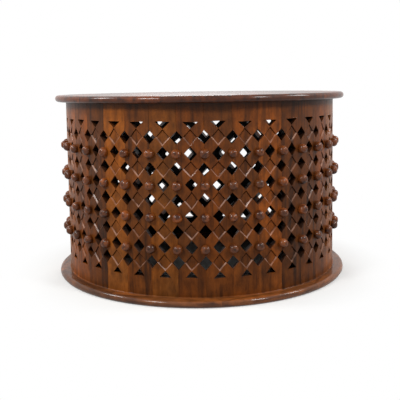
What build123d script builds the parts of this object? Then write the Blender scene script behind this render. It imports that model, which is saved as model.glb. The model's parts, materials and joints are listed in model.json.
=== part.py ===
"""African drum table: a coopered hardwood drum, cut through as a lattice and set with turned knobs,
between a round glued-up top and a wider base ring. Millimetres, +Z up, origin on the floor under
the middle of the table. The front faces -Y and has a joint between two staves in its middle.
"""

from build123d import *

import os
from math import atan, cos, degrees, radians, tan

# ---- Driving dimensions -------------------------------------------------------------------------

# whole table
table_height = 460.0

# round top, glued up from boards that run from front to back
top_diameter = 750.0
top_thickness = 16.0
top_edge_chamfer = 5.0
board_count = 8

# drum: staves with radial joints, flat on their outer and inner faces
top_overhang = 27.5
stave_count = 36
stave_thickness = 22.0

# lattice: rows of holes, alternately in the middle of the staves and across their joints
top_band = 40.0
bottom_band = 43.0
joint_rows = 5
hole_width = 26.0
hole_height = 31.0
border_hole_width = 34.0

# dips, where one strand of the lattice dives under another: deepest at the lower corner
dip_land = 0.5
dip_depth = 3.2
dip_wall_angle = 45.0

# knobs over the stave joints, with few sides because the drum carries so many
knob_sides = 6
knob_width = 21.0
knob_front_width = 14.0
knob_length = 15.0

# base ring: segments with a straight inner edge, each under its own group of staves
staves_per_segment = 4
base_thickness = 16.0
base_overhang = 26.0
base_inner_lip = 4.0
base_edge_chamfer = 5.0

# cleats: blocks in the corner of drum and top, as many as the base has segments
cleat_width = 45.0
cleat_depth = 30.0
cleat_height = 30.0
cleat_chamfer = 10.0

# ---- Sizes that follow from them ------------------------------------------------------------------

top_radius = top_diameter / 2
board_width = top_diameter / board_count
drum_bottom = base_thickness
drum_top = table_height - top_thickness

outer_flat = top_radius - top_overhang
inner_flat = outer_flat - stave_thickness
stave_angle = 360 / stave_count
joint_angle = stave_angle / 2
outer_half_width = outer_flat * tan(radians(joint_angle))
inner_half_width = inner_flat * tan(radians(joint_angle))
ridge_radius = outer_flat / cos(radians(joint_angle))
through_cut = 2 * stave_thickness

lattice_bottom = drum_bottom + bottom_band
lattice_top = drum_top - top_band
lattice_middle = (lattice_bottom + lattice_top) / 2
row_step = (lattice_top - lattice_bottom) / (2 * joint_rows)

dip_half_width = outer_half_width - hole_width / 2 - dip_land
dip_height = row_step - hole_height / 2 - dip_land
dip_floor_tilt = degrees(atan(dip_depth / dip_height))

knob_taper = degrees(atan((knob_width - knob_front_width) / 2 / knob_length))
knob_seat_depth = knob_width * tan(radians(joint_angle))

segment_count = stave_count // staves_per_segment
seam_angle = 180 / segment_count
base_radius = ridge_radius + base_overhang
base_inner_flat = inner_flat * cos(radians(seam_angle)) - base_inner_lip

# the front of the drum, and the same plane turned to the joint on either side
front_face = Plane.XZ.offset(outer_flat)
turned_faces = [Plane.XZ.rotated((0, 0, side * joint_angle)).offset(outer_flat) for side in (-1, 1)]

os.makedirs("parts", exist_ok=True)


def save(piece, node):
    """Label a finished piece and write it to a file of its own."""
    piece.label = node
    export_step(piece, f"parts/{node}.step")


def diamond(width, height):
    """A diamond standing on its corner, in the sketch that is open."""
    Polygon((-width / 2, 0), (0, -height / 2), (width / 2, 0), (0, height / 2))


# ---- Dip cutter: the lower half of a diamond, with sloping walls and a floor that falls inwards -----

with BuildPart() as dip_cutter:
    with BuildSketch(front_face):
        Polygon((-dip_half_width, 0), (0, -dip_height), (dip_half_width, 0))
    extrude(amount=-2 * dip_depth)
    walls = dip_cutter.faces().filter_by(Axis.Y, reverse=True).filter_by(Axis.Z, reverse=True)
    draft(walls, front_face, -dip_wall_angle)
    split(bisect_by=front_face.rotated((dip_floor_tilt, 0, 0)), keep=Keep.TOP)

# ---- Staves: one is shaped at the front and turned to each of their places -------------------------

with BuildPart() as front_stave:
    # blank between two radial joints
    with BuildSketch(Plane.XY.offset(drum_bottom)):
        Polygon(
            (-outer_half_width, -outer_flat),
            (outer_half_width, -outer_flat),
            (inner_half_width, -inner_flat),
            (-inner_half_width, -inner_flat),
        )
    extrude(amount=drum_top - drum_bottom)

    # diamonds down the middle, and half diamonds where the lattice meets the plain bands
    with BuildSketch(front_face):
        with Locations((0, lattice_middle)):
            with GridLocations(0, 2 * row_step, 1, joint_rows - 1):
                diamond(hole_width, hole_height)
        Polygon(
            (-border_hole_width / 2, lattice_bottom),
            (border_hole_width / 2, lattice_bottom),
            (0, lattice_bottom + hole_height / 2),
        )
        Polygon(
            (border_hole_width / 2, lattice_top),
            (-border_hole_width / 2, lattice_top),
            (0, lattice_top - hole_height / 2),
        )
    extrude(amount=through_cut, both=True, mode=Mode.SUBTRACT)

    # diamonds cut square through the joints, half in this stave and half in the next
    for turned_face in turned_faces:
        with BuildSketch(turned_face):
            with Locations((0, lattice_middle)):
                with GridLocations(0, 2 * row_step, 1, joint_rows):
                    diamond(hole_width, hole_height)
        extrude(amount=through_cut, both=True, mode=Mode.SUBTRACT)

    # a dip between each two diamonds, level with the holes in the joints
    for row in range(joint_rows):
        with Locations((0, 0, lattice_bottom + (2 * row + 1) * row_step)):
            add(dip_cutter.part, mode=Mode.SUBTRACT)

for number in range(stave_count):
    with BuildPart() as stave:
        add(front_stave.part, rotation=(0, 0, (number + 0.5) * stave_angle))
    save(stave.part, f"stave_{number + 1:02d}")

# ---- Knobs: tapered, with the back cut to sit astride a joint ---------------------------------------

with BuildPart() as front_knob:
    knob_root = Plane.XZ.offset(ridge_radius)
    with BuildSketch(knob_root):
        RegularPolygon(knob_width / 2, knob_sides, major_radius=False)
    extrude(amount=knob_length)
    extrude(front_knob.faces().sort_by(Axis.Y)[-1], amount=knob_seat_depth)
    draft(front_knob.faces().filter_by(Axis.Y, reverse=True), knob_root, knob_taper)
    for turned_face in turned_faces:
        split(bisect_by=turned_face, keep=Keep.TOP)

for number in range(joint_rows - 1):
    row_height = lattice_middle + (joint_rows / 2 - 1 - number) * 2 * row_step
    with BuildPart() as knob_row:
        with Locations((0, 0, row_height)):
            with PolarLocations(0, stave_count):
                add(front_knob.part)
    save(knob_row.part, f"knob_row_{number + 1}")

# ---- Base ring: seams under the middles of staves --------------------------------------------------

with BuildPart() as front_segment:
    with BuildSketch():
        Polygon(
            (-base_inner_flat * tan(radians(seam_angle)), -base_inner_flat),
            (-base_radius * tan(radians(seam_angle)), -base_radius),
            (base_radius * tan(radians(seam_angle)), -base_radius),
            (base_inner_flat * tan(radians(seam_angle)), -base_inner_flat),
        )
        Circle(base_radius, mode=Mode.INTERSECT)
    extrude(amount=base_thickness)
    upper_edge = front_segment.edges().filter_by(GeomType.CIRCLE).sort_by(Axis.Z)[-1]
    chamfer(upper_edge, base_edge_chamfer)

for number in range(segment_count):
    segment_turn = (number + 0.5) * 360 / segment_count + joint_angle
    with BuildPart() as segment:
        add(front_segment.part, rotation=(0, 0, segment_turn))
    save(segment.part, f"base_segment_{number + 1}")

# ---- Cleats: glue blocks on the inner faces of staves, up against the top --------------------------

with BuildPart() as front_cleat:
    with BuildSketch(Plane.YZ) as cleat_profile:
        with Locations((-inner_flat, drum_top)):
            Rectangle(cleat_depth, cleat_height, align=(Align.MIN, Align.MAX))
        inner_corner = cleat_profile.vertices().group_by(Axis.Z)[0].sort_by(Axis.Y)[-1]
        chamfer(inner_corner, cleat_chamfer)
    extrude(amount=cleat_width / 2, both=True)

with BuildPart() as top_cleats:
    with PolarLocations(0, segment_count, start_angle=joint_angle):
        add(front_cleat.part)
save(top_cleats.part, "top_cleats")

# ---- Top: boards side by side, numbered from -X, cut to one circle ---------------------------------

for number in range(board_count):
    with BuildPart() as board:
        with BuildSketch(Plane.XY.offset(drum_top)):
            with Locations(((number + 0.5) * board_width - top_radius, 0)):
                Rectangle(board_width, top_diameter)
            Circle(top_radius, mode=Mode.INTERSECT)
        extrude(amount=top_thickness)
        upper_rim = board.edges().filter_by(GeomType.CIRCLE).group_by(Axis.Z)[-1]
        chamfer(upper_rim, top_edge_chamfer)
    save(board.part, f"top_board_{number + 1}")
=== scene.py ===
"""African drum table: carved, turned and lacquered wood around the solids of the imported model.

Each operator makes one kind of piece at the size and place of its solids, in metres with +Z up.
"""

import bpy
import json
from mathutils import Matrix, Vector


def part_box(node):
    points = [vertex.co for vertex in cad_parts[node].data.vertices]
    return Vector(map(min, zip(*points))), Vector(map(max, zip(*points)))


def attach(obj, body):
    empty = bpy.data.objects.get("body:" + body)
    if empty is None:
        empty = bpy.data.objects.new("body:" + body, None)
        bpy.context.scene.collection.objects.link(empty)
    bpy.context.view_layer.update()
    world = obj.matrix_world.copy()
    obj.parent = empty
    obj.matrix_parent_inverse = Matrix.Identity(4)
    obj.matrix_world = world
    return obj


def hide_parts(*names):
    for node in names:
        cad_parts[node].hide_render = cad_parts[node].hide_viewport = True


bl_info = {
    "name": "African Drum Table",
    "version": (1, 0, 0),
    "blender": (4, 5, 0),
    "location": "3D View > Sidebar > Drum Table",
    "description": "Makes the carved staves, turned knobs, top, base ring and stage of a drum table",
    "category": "Add Mesh",
}

import json
from math import cos, hypot, pi, radians, sin, tan
from random import Random

import bmesh
import bpy
from bpy.props import FloatProperty, FloatVectorProperty, IntProperty, PointerProperty
from mathutils import Matrix, Vector, noise

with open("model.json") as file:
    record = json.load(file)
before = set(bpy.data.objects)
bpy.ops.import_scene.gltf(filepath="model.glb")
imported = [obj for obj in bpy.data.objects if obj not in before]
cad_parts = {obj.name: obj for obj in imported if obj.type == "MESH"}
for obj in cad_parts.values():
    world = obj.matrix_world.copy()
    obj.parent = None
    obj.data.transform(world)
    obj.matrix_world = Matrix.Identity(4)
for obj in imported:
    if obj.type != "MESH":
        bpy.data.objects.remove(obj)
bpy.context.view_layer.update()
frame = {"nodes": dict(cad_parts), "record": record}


# ---- Sizes that the solids give ----

def nodes_named(start):
    """Names of the solids that start so, in order."""
    return sorted(name for name in frame["nodes"] if name.startswith(start))


STAVES = nodes_named("stave_")
KNOB_ROWS = nodes_named("knob_row_")
BASE_SEGMENTS = nodes_named("base_segment_")
TOP_BOARDS = nodes_named("top_board_")
SLOTS = {part["node"]: part["material_slot"] for part in frame["record"]["subparts"]}

# the drum's front is turned to a radius between the ridges, where staves meet, and the flats between them
stave_angle = 2 * pi / len(STAVES)
joint_angle = stave_angle / 2
ridge_radius = -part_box(STAVES[0])[0].y
outer_flat = ridge_radius * cos(joint_angle)
turned_radius = (ridge_radius + outer_flat) / 2
half_stave = turned_radius * joint_angle
drum_bottom, drum_top = (corner.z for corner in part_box(STAVES[0]))

# knobs stand at every second row of the lattice, and the middles of dips at the rows between
knob_heights = [(low.z + high.z) / 2 for low, high in map(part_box, KNOB_ROWS)]
row_step = (knob_heights[0] - knob_heights[1]) / 2
lattice_top = knob_heights[0] + 2 * row_step
lattice_bottom = knob_heights[-1] - 2 * row_step
knob_reach = -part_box(KNOB_ROWS[0])[0].y
dip_heights = [height + row_step for height in knob_heights] + [knob_heights[-1] - row_step]

top_bottom, table_height = (corner.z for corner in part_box(TOP_BOARDS[0]))
top_radius = -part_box(TOP_BOARDS[0])[0].x
base_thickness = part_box(BASE_SEGMENTS[0])[1].z
base_radius = max(hypot(*vertex.co.xy) for vertex in frame["nodes"][BASE_SEGMENTS[0]].data.vertices)
seam_angle = pi / len(BASE_SEGMENTS)


# ---- Settings ----

def linear(hex_colour):
    """Linear RGB of an sRGB colour such as 8a4a20."""
    channels = [int(hex_colour[i:i + 2], 16) / 255 for i in (0, 2, 4)]
    return [c / 12.92 if c <= 0.04045 else ((c + 0.055) / 1.055) ** 2.4 for c in channels]


def length(name, description, default):
    """A length in metres that shows in the sidebar."""
    return FloatProperty(name=name, description=description, default=default,
                         min=0, unit="LENGTH", precision=4)


def angle(name, description, degrees):
    """An angle that shows in the sidebar."""
    return FloatProperty(name=name, description=description, default=radians(degrees), subtype="ANGLE")


def colour(name, description, hex_colour):
    """A colour that shows in the sidebar."""
    return FloatVectorProperty(name=name, description=description, default=linear(hex_colour),
                               subtype="COLOR", min=0, max=1)


class LatticeSettings(bpy.types.PropertyGroup):
    """Holes and carving of the staves"""
    stave_thickness: length("Stave thickness", "Wall of the drum, between its flats", 0.022)
    hole_width: length("Hole width", "Width of a diamond hole", 0.028)
    hole_height: length("Hole height", "Height of a diamond hole", 0.031)
    upper_border_hole: length("Upper border hole", "Width of a half diamond under the upper band", 0.033)
    lower_border_hole: length("Lower border hole", "Width of a half diamond over the lower band", 0.028)
    ledge: length("Ledge", "Width of the sloping ledge under a dip", 0.0034)
    scribe: length("Scribe", "Width of the scribed groove over a dip", 0.0026)
    scribe_depth: length("Scribe depth", "Depth of that groove", 0.0028)
    dip_high: length("Dip depth, top", "Depth of a dip's floor at its upper corner", 0.0008)
    dip_low: length("Dip depth, bottom", "Depth of a dip's floor at its lower corner", 0.0036)
    joint_groove: length("Joint groove", "Width and depth of the groove left where staves meet", 0.0004)
    rim: length("Eased rim", "Width of the eased edge round each hole", 0.0005)
    back_cut: length("Back cut", "How far each side of a hole moves out on the inside of the drum", 0.0036)
    foot_fillet: length("Foot fillet", "Bead of glue and lacquer between a stave and the base", 0.0014)
    stray: length("Stray", "How far the hand-cut lattice strays from its rule", 0.0024)


class KnobSettings(bpy.types.PropertyGroup):
    """Turned knobs"""
    radius: length("Radius", "Largest radius of a knob", 0.0122)
    neck_radius: length("Neck radius", "Radius where the knob meets the drum", 0.0075)
    dimple_radius: length("Dimple radius", "Radius of the mark left by the lathe's centre", 0.0024)
    dimple: length("Dimple", "Depth of that mark", 0.0010)
    drop: length("Drop", "How much further than the row above each row is set under its rule", 0.0010)
    sides: IntProperty(name="Sides", description="Faces round a knob", default=12, min=8)
    unevenness: FloatProperty(name="Unevenness", description="How far knobs differ in size", default=0.12,
                              min=0, max=0.3, subtype="FACTOR")


class EdgeSettings(bpy.types.PropertyGroup):
    """Rounded edges of top and base"""
    steps: IntProperty(name="Steps", description="Steps of a rounded edge", default=10, min=3)
    sides: IntProperty(name="Sides", description="Sides of the full circle", default=180, min=36)
    base_lip: length("Base lip", "How far the base reaches in past the staves", 0.004)


class WoodSettings(bpy.types.PropertyGroup):
    """Stained and lacquered hardwood"""
    dark_streak: colour("Dark streak", "Streaks of the darkest staves", "2a1608")
    dark_ground: colour("Dark ground", "Ground of the darkest staves", "6b3912")
    mid_streak: colour("Middle streak", "Streaks of most staves", "4d2910")
    mid_ground: colour("Middle ground", "Ground of most staves", "7e4316")
    light_streak: colour("Light streak", "Streaks of the lightest staves", "733d0c")
    light_ground: colour("Light ground", "Ground of the lightest staves", "8b4f1c")
    knob_streak: colour("Knob streak", "Streaks of the knobs", "301206")
    knob_ground: colour("Knob ground", "Ground of the knobs", "703b17")
    top_streak: colour("Top streak", "Streaks of the top", "2e150a")
    top_ground: colour("Top ground", "Ground of the top", "633116")
    base_streak: colour("Base streak", "Streaks of the base ring", "44230f")
    base_ground: colour("Base ground", "Ground of the base ring", "7d4821")
    raw_streak: colour("Raw streak", "Streaks of the unfinished glue blocks", "8c6a44")
    raw_ground: colour("Raw ground", "Ground of the unfinished glue blocks", "b8946a")
    # pale colour of the painted highlights on ledge lips, up-facing rims and hole sills, which also stands
    # for lacquer rubbed thin
    highlight_and_worn: colour("Worn", "Edges where the lacquer is rubbed thin", "c89c86")
    seed: IntProperty(name="Seed", description="Start of what is drawn by lot", default=22925)


class StageSettings(bpy.types.PropertyGroup):
    """Floor, light and camera"""
    paper: colour("Paper", "Seamless paper on the floor", "f4f4f2")
    lens: FloatProperty(name="Lens", description="Focal length on a 36 mm sensor, in mm", default=59.8)
    distance: length("Distance", "From the camera to the axis of the table", 1.771)
    height: length("Height", "Camera above the floor", 0.484)
    turn: angle("Turn", "Camera round the table", -1.50)
    pitch: angle("Pitch", "Camera looks down by this", 5.20)
    lean: angle("Lean", "Camera leans by this", -0.85)
    shift: FloatProperty(name="Shift", description="Lens shift, as a share of the width", default=-0.139)


class DrumTableSettings(bpy.types.PropertyGroup):
    """All settings of the table"""
    lattice: PointerProperty(type=LatticeSettings)
    knob: PointerProperty(type=KnobSettings)
    edge: PointerProperty(type=EdgeSettings)
    wood: PointerProperty(type=WoodSettings)
    stage: PointerProperty(type=StageSettings)


# ---- Wood ----

# sizes of the wood's patterns, in metres
STREAK = 0.012     # width of a dark streak
PORE = 0.0012      # pores are 0.2 mm wide, and drawn as coarse as they need to show
WANDER = 0.090     # how far apart the bends of the grain lie
DRIFT = 0.030      # how far those bends reach
STAIN = 0.016      # size of the clouds that stain leaves
HEART = 0.110      # how far apart redder and browner heartwood lie
HAND = 0.014       # size of the hollows that hand tools leave
# TOUCH also sets how far apart stronger and weaker painted highlights lie
TOUCH = 0.022      # how far apart more and less rubbed places lie

# what browner and redder heartwood do to a colour
BROWNER = (0.82, 0.86, 1.0, 1)
REDDER = (1.22, 1.12, 0.85, 1)

# how much darker an open pore is, and how deep pores and tool marks are, in metres
PORE_DARK = 0.28
PORE_DEPTH = 0.0003
HOLLOW_DEPTH = 0.0015

# what is left of a colour under the full painted shade inside the drum, and under the deepest painted shade
# in grooves, ledge feet and dimples
UNLIT = 0.06
DEEPEST_PAINTED_SHADE = 0.15

# roughness of the ground where its pores are open, and where it is rubbed smooth
OPEN_PORED = 0.7
RUBBED = 0.3

# how much of the clear lacquer lies on a surface
SATIN = 0.17
SHINE = 0.42
GLOSS = 0.42
POLISH = 0.64

# share of the coat that is gone at the foot of the staves
SCUFFED = 0.85

# the lacquer bends light as resins do, and little of it glances off the ground under the lacquer
LACQUER_IOR = 1.5
GROUND_GLANCE = 0.1

# painted light and shade on a face, with some wear: painted highlights on ledge lips, up-facing rims and
# hole sills, where the lacquer is also rubbed thin, and painted shade in grooves, ledge feet, dimples and
# down-facing rims
LIP_HIGHLIGHT = 1.0
RIM_HIGHLIGHT = 0.4
RIM_SHADE = -0.4
GROOVE_SHADE = -0.6
FOOT_SHADE = -0.6

# how much darker and lighter than their finish pieces may be
STAVE_TONES = (-0.30, 0.22)
KNOB_TONES = (-0.24, 0.34)
TOP_TONES = (-0.40, 0.30)
BASE_TONES = (-0.35, 0.10)

# how far from the middle of the tree a piece may be cut, across it and along it, in metres
ACROSS_TREE = 0.05
ALONG_TREE = 2.0


def node(tree, kind, inputs=None, out=0, **settings):
    """Adds a node and gives back one output. An input is a value, or the socket that feeds it."""
    new = tree.nodes.new(kind)
    for name, value in settings.items():
        setattr(new, name, value)
    for key, value in (inputs or {}).items():
        if isinstance(value, bpy.types.NodeSocket):
            tree.links.new(value, new.inputs[key])
        else:
            new.inputs[key].default_value = value
    return new.outputs[out] if new.outputs else None


def scalar_math(tree, operation, *values, **settings):
    """Adds a node that reckons with numbers."""
    return node(tree, "ShaderNodeMath", dict(enumerate(values)), operation=operation, **settings)


def vector_math(tree, operation, *values):
    """Adds a node that reckons with vectors or colours."""
    return node(tree, "ShaderNodeVectorMath", dict(enumerate(values)), operation=operation)


def scale(tree, vector, factor):
    """Adds a node that multiplies a vector or colour by a number."""
    return node(tree, "ShaderNodeVectorMath", {0: vector, "Scale": factor}, operation="SCALE")


def mix(tree, share, first, second):
    """Adds a node that goes over from the first colour to the second."""
    return node(tree, "ShaderNodeMix", {"Factor": share, 6: first, 7: second}, 2, data_type="RGBA")


def remap(tree, value, given, wanted=(0, 1), **settings):
    """Adds a node that takes a number from its given range to the wanted one."""
    inputs = dict(zip(("Value", "From Min", "From Max", "To Min", "To Max"), (value, *given, *wanted)))
    return node(tree, "ShaderNodeMapRange", inputs, **settings)


def new_material(name):
    """A material and its tree, still empty."""
    material = bpy.data.materials.new(name)
    material.use_nodes = True
    material.node_tree.nodes.clear()
    return material, material.node_tree


def figure(tree, place, size, along, detail, roughness=0.5, out="Fac"):
    """Clouds of a size across the grain, drawn out along it, where only a share of each length counts."""
    drawn = vector_math(tree, "MULTIPLY", place, (1, 1, along))
    return node(tree, "ShaderNodeTexNoise",
                {"Vector": drawn, "Scale": 1 / size, "Detail": detail, "Roughness": roughness}, out)


def wood_nodes(tree, place, streak, ground, relief=1.0):
    """Colour and bump of streaky open-pored hardwood, read at a place in the plank."""
    # dark streaks that wander with the grain
    drift = figure(tree, place, WANDER, along=0.25, detail=1.5, out="Color")
    pushed = vector_math(tree, "MULTIPLY_ADD", drift, (DRIFT, DRIFT, 0), place)
    streaks = figure(tree, pushed, STREAK, along=0.06, detail=3, roughness=0.55)
    shade = remap(tree, streaks, (0.24, 0.60), interpolation_type="SMOOTHSTEP")
    base = mix(tree, shade, (*streak, 1), (*ground, 1))

    # redder and browner heartwood
    heart = figure(tree, place, HEART, along=0.6, detail=1)
    heart = remap(tree, heart, (0.35, 0.65))
    warmth = mix(tree, heart, BROWNER, REDDER)
    base = vector_math(tree, "MULTIPLY", base, warmth)

    # clouds of stain, and pores that hold more of it
    stain = figure(tree, place, STAIN, along=0.6, detail=4)
    stain = remap(tree, stain, (0.3, 0.7), (0.62, 1.32))
    pores = figure(tree, pushed, PORE, along=0.12, detail=2)
    closed = remap(tree, pores, (0.30, 0.50), interpolation_type="SMOOTHSTEP")
    lit = remap(tree, closed, (0, 1), (1 - PORE_DARK * relief, 1))
    stain = scalar_math(tree, "MULTIPLY", stain, lit)
    base = scale(tree, base, stain)

    # hollows left by hand tools, and pores on them
    hollows = figure(tree, place, HAND, along=1, detail=1)
    carved = node(tree, "ShaderNodeBump",
                  {"Strength": 0.25 * relief, "Distance": HOLLOW_DEPTH, "Height": hollows})
    bump = node(tree, "ShaderNodeBump",
                {"Strength": 0.12 * relief, "Distance": PORE_DEPTH, "Height": closed, "Normal": carved})
    return base, bump


def lacquered_wood(name, wood, kind, coat=SATIN, relief=1.0, haze=0.10, scuffed=0.0):
    """Stained rosewood under lacquer: a dull ground gives the colour, and a clear coat the shine."""
    material, tree = new_material(name)
    place = node(tree, "ShaderNodeAttribute", out="Vector", attribute_name="grain")
    tone, painted_light_and_wear, painted_shade = (node(tree, "ShaderNodeAttribute", out="Fac", attribute_name=stored)
                           for stored in ("tone", "painted_light_and_wear", "painted_shade"))
    streak, ground = getattr(wood, kind + "_streak"), getattr(wood, kind + "_ground")
    base, bump = wood_nodes(tree, place, streak, ground, relief)

    # each piece in its own tone, with painted shade down in the holes, on the inside of the drum and under
    # the top, and in grooves, ledge feet and dimples
    lit_share = remap(tree, painted_shade, (0, 0.38), (1, UNLIT))
    unshaded_share = remap(tree, painted_light_and_wear, (-1, 0), (DEEPEST_PAINTED_SHADE, 1))
    level = scalar_math(tree, "ADD", tone, 1.0)
    level = scalar_math(tree, "MULTIPLY", level, lit_share)
    level = scalar_math(tree, "MULTIPLY", level, unshaded_share)
    base = scale(tree, base, level)

    # painted highlights on ledge lips, up-facing rims and sills, with some wear, stronger in some places
    # than others
    touched = figure(tree, place, TOUCH, along=1, detail=1)
    touched = remap(tree, touched, (0.36, 0.64), (0.10, 0.56))
    rubbed_and_highlit = scalar_math(tree, "MULTIPLY", painted_light_and_wear, touched, use_clamp=True)
    base = mix(tree, rubbed_and_highlit, base, (*wood.highlight_and_worn, 1))

    # smooth on the painted highlights, where the lacquer is also rubbed, and dull in the painted shade,
    # where the pores stay open
    dull = remap(tree, painted_light_and_wear, (-1, 1), (OPEN_PORED, RUBBED))

    # mops and feet scuff the coat towards the floor
    if scuffed:
        stands_at = node(tree, "ShaderNodeTexCoord", out="Object")
        height = node(tree, "ShaderNodeSeparateXYZ", {0: stands_at}, "Z")
        coat = remap(tree, height, (drum_bottom, lattice_top), (coat * (1 - scuffed), coat))

    surface = node(tree, "ShaderNodeBsdfPrincipled", {
        "Base Color": base, "Normal": bump, "Roughness": dull, "IOR": LACQUER_IOR,
        "Specular IOR Level": GROUND_GLANCE, "Coat Weight": coat, "Coat Roughness": haze,
        "Coat IOR": LACQUER_IOR})
    node(tree, "ShaderNodeOutputMaterial", {0: surface})
    return material


def raw_wood(name, wood):
    """Planed hardwood without a finish, as inside: dull all over, and read where the piece stands."""
    material, tree = new_material(name)
    place = node(tree, "ShaderNodeTexCoord", out="Object")
    base, bump = wood_nodes(tree, place, wood.raw_streak, wood.raw_ground)
    surface = node(tree, "ShaderNodeBsdfPrincipled",
                   {"Base Color": base, "Normal": bump, "Roughness": OPEN_PORED})
    node(tree, "ShaderNodeOutputMaterial", {0: surface})
    return material


# ---- Meshes ----

# edges that turn by more degrees than this show as creases, on most pieces and on the knobs
CREASE = 24
KNOB_CREASE = 60

# width of the ring of flat faces inside a round edge, in metres, which keeps the big face's shading even
EDGE_BAND = 0.001

# how near a point has to be, in metres, to lie on a cutting plane, to lie at a border, or to be merged
ON_PLANE = 1e-7
HAIR = 1e-6
MERGED = 1e-5


def finish_mesh(bm, name, crease=CREASE):
    """Turns the faces of a closed shell outwards and makes it a mesh, smooth but for its creases."""
    bmesh.ops.recalc_face_normals(bm, faces=bm.faces)
    mesh = bpy.data.meshes.new(name)
    bm.to_mesh(mesh)
    bm.free()
    for polygon in mesh.polygons:
        polygon.use_smooth = True
    mesh.set_sharp_from_angle(angle=radians(crease))
    return mesh


def lay_grain(mesh, along, shift=(0, 0, 0)):
    """Stores each point's place in its plank, with the third axis along the grain, for the wood to read."""
    order = {"X": (1, 2, 0), "Y": (2, 0, 1), "Z": (0, 1, 2)}[along]
    places = [vertex.co[axis] + shift[slot]
              for vertex in mesh.vertices for slot, axis in enumerate(order)]
    mesh.attributes.new("grain", "FLOAT_VECTOR", "POINT").data.foreach_set("vector", places)


def lay_wood(mesh, along, lot, tones):
    """Cuts a piece from its own place in the tree and gives it its own tone, both by lot."""
    shift = [lot.uniform(-reach, reach) for reach in (ACROSS_TREE, ACROSS_TREE, ALONG_TREE)]
    lay_grain(mesh, along, shift)
    tone = lot.uniform(*tones)
    mesh.attributes.new("tone", "FLOAT", "POINT").data.foreach_set("value", [tone] * len(mesh.vertices))


def place_piece(mesh, name, material, solid):
    """Links a finished mesh as a piece that stands for a solid and rides on the table."""
    mesh.materials.clear()
    mesh.materials.append(material)
    piece = bpy.data.objects.new(name, mesh)
    bpy.context.scene.collection.objects.link(piece)
    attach(piece, "root")
    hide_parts(solid)


def whole(bm):
    """All points, edges and faces of a shell."""
    return bm.verts[:] + bm.edges[:] + bm.faces[:]


def lathe(profile, sides):
    """A shell turned about Z from (radius, height) points, closed by fans where the radius is 0."""
    bm = bmesh.new()
    turns = [2 * pi * i / sides for i in range(sides)]
    rings = []
    for radius, height in profile:
        count = sides if radius else 1
        rings.append([bm.verts.new((radius * sin(turn), -radius * cos(turn), height))
                      for turn in turns[:count]])
    for lower, upper in zip(rings, rings[1:]):
        for i in range(sides):
            corners = [lower[i % len(lower)], lower[(i + 1) % len(lower)],
                       upper[(i + 1) % len(upper)], upper[i % len(upper)]]
            bm.faces.new(list(dict.fromkeys(corners)))
    return bm


def keep_side(bm, point, normal):
    """Cuts a closed shell by a plane, drops what lies on the normal's side and closes the cut."""
    cut = bmesh.ops.bisect_plane(bm, geom=whole(bm), dist=ON_PLANE, plane_co=point, plane_no=normal,
                                 clear_outer=True)
    edges = [part for part in cut["geom_cut"] if isinstance(part, bmesh.types.BMEdge)]
    if edges:
        bmesh.ops.contextual_create(bm, geom=edges)


def bullnose_disc(radius, low, high, edge):
    """A round board with a half-round edge."""
    round_radius = (high - low) / 2
    middle = (high + low) / 2
    round_middle = radius - round_radius
    profile = [(0, low), (round_middle - EDGE_BAND, low)]
    for i in range(edge.steps + 1):
        turn = -pi / 2 + pi * i / edge.steps
        profile.append((round_middle + round_radius * cos(turn), middle + round_radius * sin(turn)))
    profile += [(round_middle - EDGE_BAND, high), (0, high)]
    return lathe(profile, edge.sides)


# ---- Staves ----

# material of each slot of the staves, with the start of its colours' names; thin satin lacquer lets
# dark heartwood, middling wood and pale sapwood show, so the eye sees the joints as changes of tone
STAVE_FINISHES = {
    "stave_dark": ("dark_rosewood_lacquered", "dark"),
    "stave_mid": ("rosewood_lacquered", "mid"),
    "stave_amber": ("sapwood_lacquered", "light"),
}

# share of a ledge's width that is its lip, with a painted highlight; the rest is its foot, with painted
# shade
LIP = 0.70

# the scribed groove is this share of its depth where it runs out at the sides of the dip
SCRIBE_END = 0.8

# a stave's front is cut in this many strips, narrow enough to bend round the drum
STRIPS = 5

# share of a hole's size by which a point may miss the hole's edge
ON_RIM = 1e-3

# on the plain back, the points behind a dip draw together to this share, clear of the wider holes
BEHIND_DIP = 0.6

# rims whose faces look up by more than this get a painted highlight, and the others painted shade
LOOKS_UP = 0.3

# painted shadow of the top on the staves: how far down it reaches, and how much painted shade it gives
# there
SHADED = 0.013
SHADOW_UNDER_TOP = 0.30

# light from above still reaches a hole's lower walls: how much painted shade their back has, and how much
# painted light they get
SILL_SHADE = 0.26
SILL_LIGHT = 0.18

# the lattice strays one way over this distance, and not at all within this distance of the staves' ends
STRAY_SPACING = 0.040
EVEN_END = 0.040


def inner_flat(lattice):
    """Distance from the axis to the flat inside of a stave."""
    return outer_flat - lattice.stave_thickness


def dip_corners(half_width, half_height, upper, lower):
    """Corners of a diamond round its middle, from the top on, with its upper and lower sides moved in."""
    side = hypot(half_width, half_height)
    upper_share = 1 - upper * side / (half_width * half_height)
    lower_share = 1 - lower * side / (half_width * half_height)
    across = half_width * (upper_share + lower_share) / 2
    up = half_height * (upper_share - lower_share) / 2
    return [(0, half_height * upper_share), (across, up), (0, -half_height * lower_share), (-across, up)]


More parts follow.
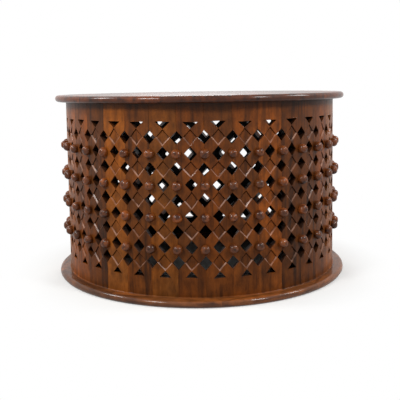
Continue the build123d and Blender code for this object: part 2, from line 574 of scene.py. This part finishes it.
def carve_dip(bm, lattice, middle, half_width, half_height):
    """A dip in the flat stave: a scribed groove above, a ledge below, and a floor that falls inwards."""
    rings = [
        dip_corners(half_width, half_height, 0, 0),
        dip_corners(half_width, half_height, lattice.scribe / 2, lattice.ledge * LIP),
        dip_corners(half_width, half_height, lattice.scribe, lattice.ledge),
    ]
    scribe_end = lattice.scribe_depth * SCRIBE_END
    halfway = (lattice.dip_high + lattice.dip_low) / 2
    depths = [
        (0, 0, 0, 0),
        (lattice.scribe_depth, scribe_end, lattice.dip_low * LIP, scribe_end),
        (lattice.dip_high, halfway, lattice.dip_low, halfway),
    ]
    loops = [[bm.verts.new((x, depth, middle + z)) for (x, z), depth in zip(ring, depth_ring)]
             for ring, depth_ring in zip(rings, depths)]
    painted_light_and_wear = bm.faces.layers.float["painted_light_and_wear"]
    # painted highlight on the lips of the lower sides, painted shade on their feet and on both rings of the
    # upper sides
    for outer, inner, ledge_light in zip(loops, loops[1:], (LIP_HIGHLIGHT, FOOT_SHADE)):
        for i in range(4):
            j = (i + 1) % 4
            side = bm.faces.new((outer[i], outer[j], inner[j], inner[i]))
            side[painted_light_and_wear] = ledge_light if i in (1, 2) else GROOVE_SHADE
    bm.faces.new(loops[-1])


def lay_out_front(lattice):
    """The front of one stave, unrolled: X across, Y the depth under the turned face, Z up."""
    bm = bmesh.new()
    bm.faces.layers.float.new("painted_light_and_wear")
    painted_shade = bm.loops.layers.float.new("painted_shade")
    hole = lattice.hole_width / 2
    rise = lattice.hole_height / 2
    dip_width = half_stave - hole
    dip_height = row_step - rise
    borders = (
        (lattice_top, -1, drum_top, lattice.upper_border_hole / 2),
        (lattice_bottom, 1, drum_bottom, lattice.lower_border_hole / 2),
    )

    def face(*points):
        bm.faces.new([bm.verts.new((x, 0, z)) for x, z in points])

    # strands round the knobs and along the borders, then the bands past the borders, then the dips
    for way in (-1, 1):
        side = way * half_stave
        for z in knob_heights:
            for up in (-1, 1):
                face((way * hole, z), (side, z + up * dip_height),
                     (way * dip_width, z + up * row_step), (0, z + up * rise))
            face((way * hole, z), (side, z - dip_height), (side, z + dip_height))
        for z, up, _, border in borders:
            face((0, z + up * rise), (way * dip_width, z + up * row_step), (side, z + up * dip_height),
                 (side, z), (way * border, z))
    for z, _, end, border in borders:
        face((-half_stave, z), (-border, z), (border, z), (half_stave, z), (half_stave, end),
             (-half_stave, end))
    for z in dip_heights:
        carve_dip(bm, lattice, z, dip_width, dip_height)
    bmesh.ops.remove_doubles(bm, verts=bm.verts, dist=MERGED)

    # cuts between the strips, beside each joint, over the foot and under the band of painted shadow at the
    # top
    foot = drum_bottom + lattice.foot_fillet
    cuts = [half_stave * (2 * i / STRIPS - 1) for i in range(1, STRIPS)]
    cuts += [lattice.joint_groove - half_stave, half_stave - lattice.joint_groove]
    planes = [((x, 0, 0), (1, 0, 0)) for x in cuts]
    planes += [((0, 0, z), (0, 0, 1)) for z in (foot, drum_top - SHADED)]
    for point, normal in planes:
        bmesh.ops.bisect_plane(bm, geom=whole(bm), dist=ON_PLANE, plane_co=point, plane_no=normal)
    # painted shadow of the top on the points at the staves' upper end
    for vert in bm.verts:
        if vert.co.z > drum_top - HAIR:
            for corner in vert.link_loops:
                corner[painted_shade] = SHADOW_UNDER_TOP
        if abs(vert.co.x) > half_stave - HAIR:
            vert.co.y = lattice.joint_groove
        if vert.co.z < foot - HAIR:
            vert.co.y = -lattice.foot_fillet
    return bm


def hole_at(lattice, across, height):
    """Middle and half width of the hole whose edge passes a point of the unrolled front, or None."""
    half_width = lattice.hole_width / 2
    holes = [(0, z, half_width) for z in knob_heights]
    holes += [(side, z, half_width) for side in (-half_stave, half_stave) for z in dip_heights]
    holes += [(0, lattice_top, lattice.upper_border_hole / 2),
              (0, lattice_bottom, lattice.lower_border_hole / 2)]
    for x, z, reach in holes:
        # on a diamond's edge, the shares of its half width and half height come to 1
        shares = abs(across - x) / reach + abs(height - z) / (lattice.hole_height / 2)
        if abs(shares - 1) < ON_RIM:
            return x, z, reach
    return None


def straight_back(lattice, across, cut_angle):
    """Where a cut through the turned front comes out on the flat back, across the stave."""
    turn = across / turned_radius
    return turned_radius * sin(turn) - (turned_radius * cos(turn) - inner_flat(lattice)) * tan(cut_angle)


def back_point(lattice, across, depth, height):
    """Where a point of the unrolled front lies on the flat back, with the holes cut wider than in front."""
    hole = hole_at(lattice, across, height)
    if hole:
        middle, level, reach = hole
        rise = lattice.hole_height / 2
        wider = 1 + lattice.back_cut * hypot(reach, rise) / (reach * rise)
        cut_angle = joint_angle * middle / half_stave
        start = straight_back(lattice, middle, cut_angle)
        x = start + (straight_back(lattice, across, cut_angle) - start) * wider
        return Vector((x, -inner_flat(lattice), level + (height - level) * wider))
    if depth > 0 and abs(across) < half_stave - HAIR:
        level = min(dip_heights, key=lambda z: abs(z - height))
        across, height = across * BEHIND_DIP, level + (height - level) * BEHIND_DIP
    return Vector((inner_flat(lattice) * tan(across / turned_radius), -inner_flat(lattice), height))


def close_walls(bm, lattice, rim, twin):
    """Adds the faces between the outline of the front and its twin on the back."""
    painted_light_and_wear = bm.faces.layers.float["painted_light_and_wear"]
    painted_shade = bm.loops.layers.float["painted_shade"]
    for edge in rim:
        a, b = edge.verts
        wall = bm.faces.new((a, b, twin[b], twin[a]))
        middle = (a.co + b.co) / 2
        hole = hole_at(lattice, middle.x, middle.z)
        sill = hole is not None and middle.z < hole[1]
        # lower walls get painted light, and the back of every wall painted shade, less on the lower walls
        wall[painted_light_and_wear] = SILL_LIGHT if sill else 0
        for corner in wall.loops:
            if corner.vert not in (a, b):
                corner[painted_shade] = SILL_SHADE if sill else 1


def borders_hole(edge):
    """Whether an edge of the unrolled front's outline is the edge of a hole."""
    middle = (edge.verts[0].co + edge.verts[1].co) / 2
    return drum_bottom < middle.z < drum_top and abs(middle.x) < half_stave - HAIR


def carve_stave(lattice):
    """One stave at the front of the table, with its middle on -Y."""
    bm = lay_out_front(lattice)
    painted_light_and_wear = bm.faces.layers.float["painted_light_and_wear"]
    painted_shade = bm.loops.layers.float["painted_shade"]
    front = bm.verts[:]
    rim = [edge for edge in bm.edges if edge.is_boundary]
    twin = bmesh.ops.duplicate(bm, geom=whole(bm))["vert_map"]
    # the back gets no painted light, and full painted shade on the inside of the drum
    for vert in front:
        for face in twin[vert].link_faces:
            face[painted_light_and_wear] = 0
        for corner in twin[vert].link_loops:
            corner[painted_shade] = 1
    close_walls(bm, lattice, rim, twin)
    eased = [edge for edge in rim if borders_hole(edge)]

    for vert in front:
        across, depth, height = vert.co
        twin[vert].co = back_point(lattice, across, depth, height)
        radius = turned_radius - depth
        turn = across / turned_radius
        vert.co = (radius * sin(turn), -radius * cos(turn), height)

    eased_faces = bmesh.ops.bevel(bm, geom=eased, offset=lattice.rim, segments=1, affect="EDGES",
                                  clamp_overlap=True)["faces"]
    # painted highlight on rim faces that look up, painted shade on the others
    for face in eased_faces:
        face.normal_update()
        face[painted_light_and_wear] = RIM_HIGHLIGHT if face.normal.z > LOOKS_UP else RIM_SHADE
    return bm


def cut_by_hand(mesh, stray):
    """Lets the lattice stray along the wall, alike on both sides of a joint, and keeps its ends level."""
    for vertex in mesh.vertices:
        height = vertex.co.z
        free = max(0, min(1, (drum_top - height) / EVEN_END, (height - drum_bottom) / EVEN_END))
        drift = noise.noise_vector(vertex.co / STRAY_SPACING) * stray * free
        vertex.co = Matrix.Rotation(drift.x / turned_radius, 3, "Z") @ vertex.co
        vertex.co.z = height + drift.z


class DRUMTABLE_OT_staves(bpy.types.Operator):
    """Carve the staves of the drum, each in its own tone"""
    bl_idname = "drum_table.staves"
    bl_label = "Carve staves"

    def execute(self, context):
        table = context.scene.drum_table
        lot = Random(table.wood.seed)
        # left alone, noise takes its seed from the clock
        noise.seed_set(table.wood.seed)
        carved = carve_stave(table.lattice)
        finishes = {slot: lacquered_wood(name, table.wood, kind, scuffed=SCUFFED)
                    for slot, (name, kind) in STAVE_FINISHES.items()}
        for number, solid in enumerate(STAVES):
            mesh = finish_mesh(carved.copy(), solid)
            lay_wood(mesh, "Z", lot, STAVE_TONES)
            mesh.transform(Matrix.Rotation((number + 0.5) * stave_angle, 4, "Z"))
            cut_by_hand(mesh, table.lattice.stray)
            place_piece(mesh, "carved_" + solid, finishes[SLOTS[solid]], solid)
        carved.free()
        return {"FINISHED"}


# ---- Knobs ----

RING_INPUTS = {
    "Piece": "NodeSocketObject", "Material": "NodeSocketMaterial", "Count": "NodeSocketInt",
    "Radius": "NodeSocketFloat", "Height": "NodeSocketFloat", "Uneven": "NodeSocketFloat",
    "Darkest": "NodeSocketFloat", "Lightest": "NodeSocketFloat", "Seed": "NodeSocketInt",
}

# sockets of a Random Value for numbers, whose names others share: least, greatest and result
LOT_MIN, LOT_MAX, LOT = 2, 3, 1

# a knob's neck starts this far inside the wall, and its ball this far outside, in metres
NECK_IN = 0.003
NECK_OUT = 0.0006

# the ball is a little flattened: its middle is this far behind its front, and it is this deep, in radii
BALL_BACK = 0.88
BALL_DEPTH = 0.96

# where the ball's outline has its points, in degrees in front of its widest circle
BALL_POINTS = (-38, -12, 14, 38, 60)


def ring_tree():
    """Geometry Nodes that set copies of a piece round a circle, with its Z axis pointing outwards."""
    tree = bpy.data.node_groups.new("set_round_a_ring", "GeometryNodeTree")
    for name, kind in RING_INPUTS.items():
        tree.interface.new_socket(name, in_out="INPUT", socket_type=kind)
    tree.interface.new_socket("Geometry", in_out="OUTPUT", socket_type="NodeSocketGeometry")
    given = tree.nodes.new("NodeGroupInput").outputs
    seed = given["Seed"]

    # where each copy stands, first at -Y and on towards +X
    number = node(tree, "GeometryNodeInputIndex")
    step = scalar_math(tree, "DIVIDE", 2 * pi, given["Count"])
    turn = scalar_math(tree, "MULTIPLY", number, step)
    across = scalar_math(tree, "SINE", turn)
    forward = scalar_math(tree, "COSINE", turn)
    back = scalar_math(tree, "MULTIPLY", forward, -1.0)
    outward = node(tree, "ShaderNodeCombineXYZ", {"X": across, "Y": back})
    on_ring = scale(tree, outward, given["Radius"])
    height = node(tree, "ShaderNodeCombineXYZ", {"Z": given["Height"]})
    stand = vector_math(tree, "ADD", on_ring, height)
    points = node(tree, "GeometryNodePoints", {"Count": given["Count"], "Position": stand})

    # turned to face outwards, and by lot rolled about its own axis and made a little smaller
    facing = node(tree, "ShaderNodeCombineXYZ", {"X": pi / 2, "Z": turn})
    facing = node(tree, "FunctionNodeEulerToRotation", {0: facing})
    roll = node(tree, "FunctionNodeRandomValue", {LOT_MIN: 0.0, LOT_MAX: 2 * pi, "Seed": seed}, LOT,
                data_type="FLOAT")
    roll = node(tree, "ShaderNodeCombineXYZ", {"Z": roll})
    roll = node(tree, "FunctionNodeEulerToRotation", {0: roll})
    pose = node(tree, "FunctionNodeRotateRotation", {0: facing, 1: roll}, rotation_space="LOCAL")
    least = scalar_math(tree, "SUBTRACT", 1.0, given["Uneven"])
    least = node(tree, "ShaderNodeCombineXYZ", {"X": least, "Y": least, "Z": least})
    size = node(tree, "FunctionNodeRandomValue", {"Min": least, "Max": (1, 1, 1), "Seed": seed},
                data_type="FLOAT_VECTOR")
    piece = node(tree, "GeometryNodeObjectInfo", {0: given["Piece"]}, "Geometry")
    copies = node(tree, "GeometryNodeInstanceOnPoints",
                  {"Points": points, "Instance": piece, "Rotation": pose, "Scale": size})

    # each copy in its own tone, and cut from its own place in the plank
    tone = node(tree, "FunctionNodeRandomValue",
                {LOT_MIN: given["Darkest"], LOT_MAX: given["Lightest"], "Seed": seed}, LOT,
                data_type="FLOAT")
    copies = node(tree, "GeometryNodeStoreNamedAttribute",
                  {"Geometry": copies, "Name": "tone", "Value": tone}, data_type="FLOAT", domain="INSTANCE")
    shift = node(tree, "FunctionNodeRandomValue", {"Min": (-1, -1, -1), "Max": (1, 1, 1), "Seed": seed},
                 data_type="FLOAT_VECTOR")
    copies = node(tree, "GeometryNodeStoreNamedAttribute",
                  {"Geometry": copies, "Name": "shift", "Value": shift},
                  data_type="FLOAT_VECTOR", domain="INSTANCE")
    real = node(tree, "GeometryNodeRealizeInstances", {0: copies})
    grain = node(tree, "GeometryNodeInputNamedAttribute", {0: "grain"}, data_type="FLOAT_VECTOR")
    shift = node(tree, "GeometryNodeInputNamedAttribute", {0: "shift"}, data_type="FLOAT_VECTOR")
    moved = vector_math(tree, "ADD", grain, shift)
    real = node(tree, "GeometryNodeStoreNamedAttribute",
                {"Geometry": real, "Name": "grain", "Value": moved},
                data_type="FLOAT_VECTOR", domain="POINT")
    done = node(tree, "GeometryNodeSetMaterial", {"Geometry": real, "Material": given["Material"]})
    node(tree, "NodeGroupOutput", {0: done})
    return tree


def set_round(tree, name, **values):
    """Runs the ring tree with its named inputs and gives back the plain mesh that it makes."""
    carrier = bpy.data.objects.new(name, bpy.data.meshes.new(name))
    bpy.context.scene.collection.objects.link(carrier)
    modifier = carrier.modifiers.new("ring", "NODES")
    modifier.node_group = tree
    for item in tree.interface.items_tree:
        if item.in_out == "INPUT":
            modifier[item.identifier] = values[item.name]
    depsgraph = bpy.context.evaluated_depsgraph_get()
    mesh = bpy.data.meshes.new_from_object(carrier.evaluated_get(depsgraph))
    carrier.modifiers.remove(modifier)
    bpy.data.objects.remove(carrier)
    mesh.name = name
    return mesh


def turn_knob(knob):
    """A ball on a short neck, turned about Z, from inside the drum's wall to its flattened front."""
    reach = knob_reach - turned_radius
    middle = reach - knob.radius * BALL_BACK
    profile = [(0, -NECK_IN), (knob.neck_radius, -NECK_IN), (knob.neck_radius, NECK_OUT)]
    for turn in map(radians, BALL_POINTS):
        profile.append((knob.radius * cos(turn), middle + knob.radius * BALL_DEPTH * sin(turn)))
    profile += [(knob.dimple_radius, reach), (0, reach - knob.dimple)]
    bm = lathe(profile, knob.sides)
    painted_light_and_wear = bm.faces.layers.float.new("painted_light_and_wear")
    # painted shade in the lathe's centre mark
    for face in bm.faces:
        in_dimple = len(face.verts) == 3 and face.calc_center_median().z > middle
        if in_dimple:
            face[painted_light_and_wear] = GROOVE_SHADE
    return bm


class DRUMTABLE_OT_knobs(bpy.types.Operator):
    """Turn the knobs and set a row of them over the joints at each height"""
    bl_idname = "drum_table.knobs"
    bl_label = "Turn knobs"

    def execute(self, context):
        table = context.scene.drum_table
        # turned wood is smoother than carved wood, and a thick coat puts a sharp highlight on each ball
        finish = lacquered_wood("knob_lacquered", table.wood, "knob", coat=GLOSS, relief=0.3, haze=0.08)
        tree = ring_tree()
        darkest, lightest = KNOB_TONES
        pattern = finish_mesh(turn_knob(table.knob), "knob_pattern", KNOB_CREASE)
        lay_grain(pattern, "Z")
        knob = bpy.data.objects.new("knob_pattern", pattern)
        context.scene.collection.objects.link(knob)
        for row, (solid, height) in enumerate(zip(KNOB_ROWS, knob_heights)):
            name = "turned_" + solid
            mesh = set_round(tree, name, Piece=knob, Material=finish, Count=len(STAVES),
                             Radius=turned_radius, Height=height - (row + 1) * table.knob.drop,
                             Uneven=table.knob.unevenness, Darkest=darkest, Lightest=lightest,
                             Seed=table.wood.seed + row)
            place_piece(mesh, name, finish, solid)
        bpy.data.objects.remove(knob)
        return {"FINISHED"}


# ---- Top, base and glue blocks ----

# a face whose normal points up by more than this is part of the level top
LEVEL = 0.99


class DRUMTABLE_OT_top(bpy.types.Operator):
    """Make the boards of the round top, with their half-round edge"""
    bl_idname = "drum_table.top"
    bl_label = "Glue up top"

    def execute(self, context):
        table = context.scene.drum_table
        lot = Random(table.wood.seed + 1)
        # the edge shines in a thin line, and the polished face shows lamps as soft patches
        edge = lacquered_wood("top_edge_lacquered", table.wood, "top", coat=SHINE)
        face = lacquered_wood("top_polished", table.wood, "top", coat=POLISH, relief=0.02, haze=0.22)
        disc = bullnose_disc(top_radius, top_bottom, table_height, table.edge)
        for solid in TOP_BOARDS:
            low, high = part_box(solid)
            board = disc.copy()
            keep_side(board, (low.x, 0, 0), (-1, 0, 0))
            keep_side(board, (high.x, 0, 0), (1, 0, 0))
            mesh = finish_mesh(board, solid)
            lay_wood(mesh, "Y", lot, TOP_TONES)
            place_piece(mesh, "rounded_" + solid, edge, solid)
            mesh.materials.append(face)
            for polygon in mesh.polygons:
                polygon.material_index = polygon.normal.z > LEVEL
        disc.free()
        return {"FINISHED"}


class DRUMTABLE_OT_base(bpy.types.Operator):
    """Make the segments of the base ring, with their half-round edge"""
    bl_idname = "drum_table.base"
    bl_label = "Glue up base"

    def execute(self, context):
        table = context.scene.drum_table
        lot = Random(table.wood.seed + 2)
        # a thicker coat than on the staves, so that light runs along the rounded edge
        finish = lacquered_wood("base_lacquered", table.wood, "base", coat=SHINE)
        disc = bullnose_disc(base_radius, 0, base_thickness, table.edge)
        opening = inner_flat(table.lattice) * cos(seam_angle) - table.edge.base_lip
        for number, solid in enumerate(BASE_SEGMENTS):
            turn = (2 * number + 1) * seam_angle + joint_angle
            segment = disc.copy()
            bmesh.ops.rotate(segment, verts=segment.verts, matrix=Matrix.Rotation(-turn, 3, "Z"))
            keep_side(segment, (0, -opening, 0), (0, 1, 0))
            for side in (-1, 1):
                keep_side(segment, (0, 0, 0), (side * cos(seam_angle), sin(seam_angle), 0))
            mesh = finish_mesh(segment, solid)
            lay_wood(mesh, "X", lot, BASE_TONES)
            mesh.transform(Matrix.Rotation(turn, 4, "Z"))
            place_piece(mesh, "rounded_" + solid, finish, solid)
        disc.free()
        return {"FINISHED"}


class DRUMTABLE_OT_cleats(bpy.types.Operator):
    """Finish the glue blocks under the top"""
    bl_idname = "drum_table.cleats"
    bl_label = "Finish glue blocks"

    def execute(self, context):
        blocks = frame["nodes"]["top_cleats"].data
        blocks.materials.clear()
        blocks.materials.append(raw_wood("glue_block_planed", context.scene.drum_table.wood))
        return {"FINISHED"}


# ---- Stage ----

WHITE = (1, 1, 1, 1)

# how light the paper is to what it lights, so that it throws little light up under the table
BOUNCE = (0.3, 0.3, 0.3, 1)

# painted shade on the paper under the drum: how much of the paper's colour it leaves, and between which
# distances from the axis it ends
DRUM_SHADE = 0.35
DRUM_SHADE_EDGE = (0.30, 0.34)

# the paper goes over into plain white between these distances from the axis, and reaches this far
PAPER_FADE = (0.30, 0.52)
PAPER_REACH = 8.0

# light of the white surround on the table
FILL = 0.20

# where the lamps face, and the name, place, width, height and watts of each
LAMP_AIM = Vector((0, 0, 0.25))
SOFTBOXES = (
    ("softbox_front_left", (-1.10, -1.35, 1.36), 0.42, 0.32, 19),
    ("softbox_front_right", (1.20, -1.25, 1.36), 0.32, 0.32, 15),
    ("softbox_left", (-1.60, -0.15, 1.50), 0.45, 0.50, 17),
    ("softbox_right", (1.60, -0.15, 1.50), 0.45, 0.50, 14),
    ("softbox_back", (0, 1.60, 1.60), 0.60, 0.40, 14),
)

# width of the camera's sensor in millimetres, and how near it sees in metres
SENSOR = 36
NEAREST = 0.05


def seen_directly(tree):
    """1 for rays from the camera, from a mirror-like face or through glass, which see the white paper."""
    path = tree.nodes.new("ShaderNodeLightPath").outputs
    either = scalar_math(tree, "MAXIMUM", path["Is Camera Ray"], path["Is Glossy Ray"])
    return scalar_math(tree, "MAXIMUM", either, path["Is Transmission Ray"])


def seamless_paper(stage):
    """Matt studio paper that goes over into plain white away from the table, with painted shade under the
    drum.
    """
    material, tree = new_material("seamless_paper")
    place = node(tree, "ShaderNodeTexCoord", out="Object")
    away = node(tree, "ShaderNodeVectorMath", {0: place}, "Value", operation="LENGTH")
    bounced = node(tree, "ShaderNodeLightPath", out="Is Diffuse Ray")
    shade = mix(tree, bounced, (*stage.paper, 1), BOUNCE)
    # painted shade on the paper under the drum
    shade = scale(tree, shade, remap(tree, away, DRUM_SHADE_EDGE, (DRUM_SHADE, 1)))
    near = node(tree, "ShaderNodeBsdfDiffuse", {"Color": shade})
    far = remap(tree, away, PAPER_FADE, interpolation_type="SMOOTHSTEP")
    share = scalar_math(tree, "MULTIPLY", far, seen_directly(tree))
    white = node(tree, "ShaderNodeEmission", {"Color": WHITE, "Strength": 1.0})
    both = node(tree, "ShaderNodeMixShader", {0: share, 1: near, 2: white})
    node(tree, "ShaderNodeOutputMaterial", {0: both})
    return material


def lay_paper(stage):
    """Lays the seamless paper on the floor."""
    mesh = bpy.data.meshes.new("paper")
    corners = [(x * PAPER_REACH, y * PAPER_REACH, 0) for x, y in ((-1, -1), (1, -1), (1, 1), (-1, 1))]
    mesh.from_pydata(corners, [], [(0, 1, 2, 3)])
    mesh.materials.append(seamless_paper(stage))
    paper = bpy.data.objects.new("paper", mesh)
    bpy.context.scene.collection.objects.link(paper)


def hang_surround():
    """Hangs the surround, white where it is seen and dimmer as a light."""
    world = bpy.data.worlds.new("white_surround")
    world.use_nodes = True
    tree = world.node_tree
    tree.nodes.clear()
    fill = node(tree, "ShaderNodeBackground", {"Color": WHITE, "Strength": FILL})
    white = node(tree, "ShaderNodeBackground", {"Color": WHITE, "Strength": 1.0})
    both = node(tree, "ShaderNodeMixShader", {0: seen_directly(tree), 1: fill, 2: white})
    node(tree, "ShaderNodeOutputWorld", {0: both})
    bpy.context.scene.world = world


def set_softbox(name, place, width, height, watts):
    """Sets up a soft rectangular lamp that faces the table."""
    light = bpy.data.lights.new(name, "AREA")
    light.shape = "RECTANGLE"
    light.size, light.size_y, light.energy = width, height, watts
    lamp = bpy.data.objects.new(name, light)
    bpy.context.scene.collection.objects.link(lamp)
    facing = (LAMP_AIM - Vector(place)).to_track_quat("-Z", "Y").to_matrix().to_4x4()
    lamp.matrix_world = Matrix.Translation(place) @ facing


def set_camera(stage):
    """Sets up the camera, in front of the table and a little over its top."""
    camera = bpy.data.cameras.new("camera")
    camera.lens = stage.lens
    camera.sensor_width = SENSOR
    camera.shift_y = stage.shift
    camera.clip_start = NEAREST
    stand = bpy.data.objects.new("camera", camera)
    bpy.context.scene.collection.objects.link(stand)
    stand.matrix_world = (
        Matrix.Rotation(stage.turn, 4, "Z")
        @ Matrix.Translation((0, -stage.distance, stage.height))
        @ Matrix.Rotation(pi / 2 - stage.pitch, 4, "X")
        @ Matrix.Rotation(stage.lean, 4, "Z")
    )
    bpy.context.scene.camera = stand


class DRUMTABLE_OT_stage(bpy.types.Operator):
    """Make the floor, the white surround, the soft lamps and the camera"""
    bl_idname = "drum_table.stage"
    bl_label = "Set stage"

    def execute(self, context):
        stage = context.scene.drum_table.stage
        lay_paper(stage)
        hang_surround()
        for softbox in SOFTBOXES:
            set_softbox(*softbox)
        set_camera(stage)
        context.scene.view_settings.view_transform = "Standard"
        return {"FINISHED"}


# ---- Panel and registration ----

OPERATORS = (
    DRUMTABLE_OT_staves,
    DRUMTABLE_OT_knobs,
    DRUMTABLE_OT_top,
    DRUMTABLE_OT_base,
    DRUMTABLE_OT_cleats,
    DRUMTABLE_OT_stage,
)


class DRUMTABLE_PT_panel(bpy.types.Panel):
    """Lists the steps that make the table, and its settings"""
    bl_idname = "DRUMTABLE_PT_panel"
    bl_label = "Drum Table"
    bl_space_type = "VIEW_3D"
    bl_region_type = "UI"
    bl_category = "Drum Table"

    def draw(self, context):
        for operator in OPERATORS:
            self.layout.operator(operator.bl_idname)
        for name in DrumTableSettings.__annotations__:
            group = getattr(context.scene.drum_table, name)
            box = self.layout.box()
            box.label(text=name.capitalize())
            for setting in type(group).__annotations__:
                box.prop(group, setting)


CLASSES = (
    LatticeSettings,
    KnobSettings,
    EdgeSettings,
    WoodSettings,
    StageSettings,
    DrumTableSettings,
    *OPERATORS,
    DRUMTABLE_PT_panel,
)


def register():
    """Makes the classes known to Blender and gives each scene its settings."""
    for item in CLASSES:
        bpy.utils.register_class(item)
    bpy.types.Scene.drum_table = PointerProperty(type=DrumTableSettings)


def unregister():
    """Takes the settings and the classes back."""
    del bpy.types.Scene.drum_table
    for item in reversed(CLASSES):
        bpy.utils.unregister_class(item)


def main():
    """Makes the whole table."""
    register()
    bpy.ops.drum_table.staves()
    bpy.ops.drum_table.knobs()
    bpy.ops.drum_table.top()
    bpy.ops.drum_table.base()
    bpy.ops.drum_table.cleats()
    bpy.ops.drum_table.stage()


if __name__ == "__main__":
    main()
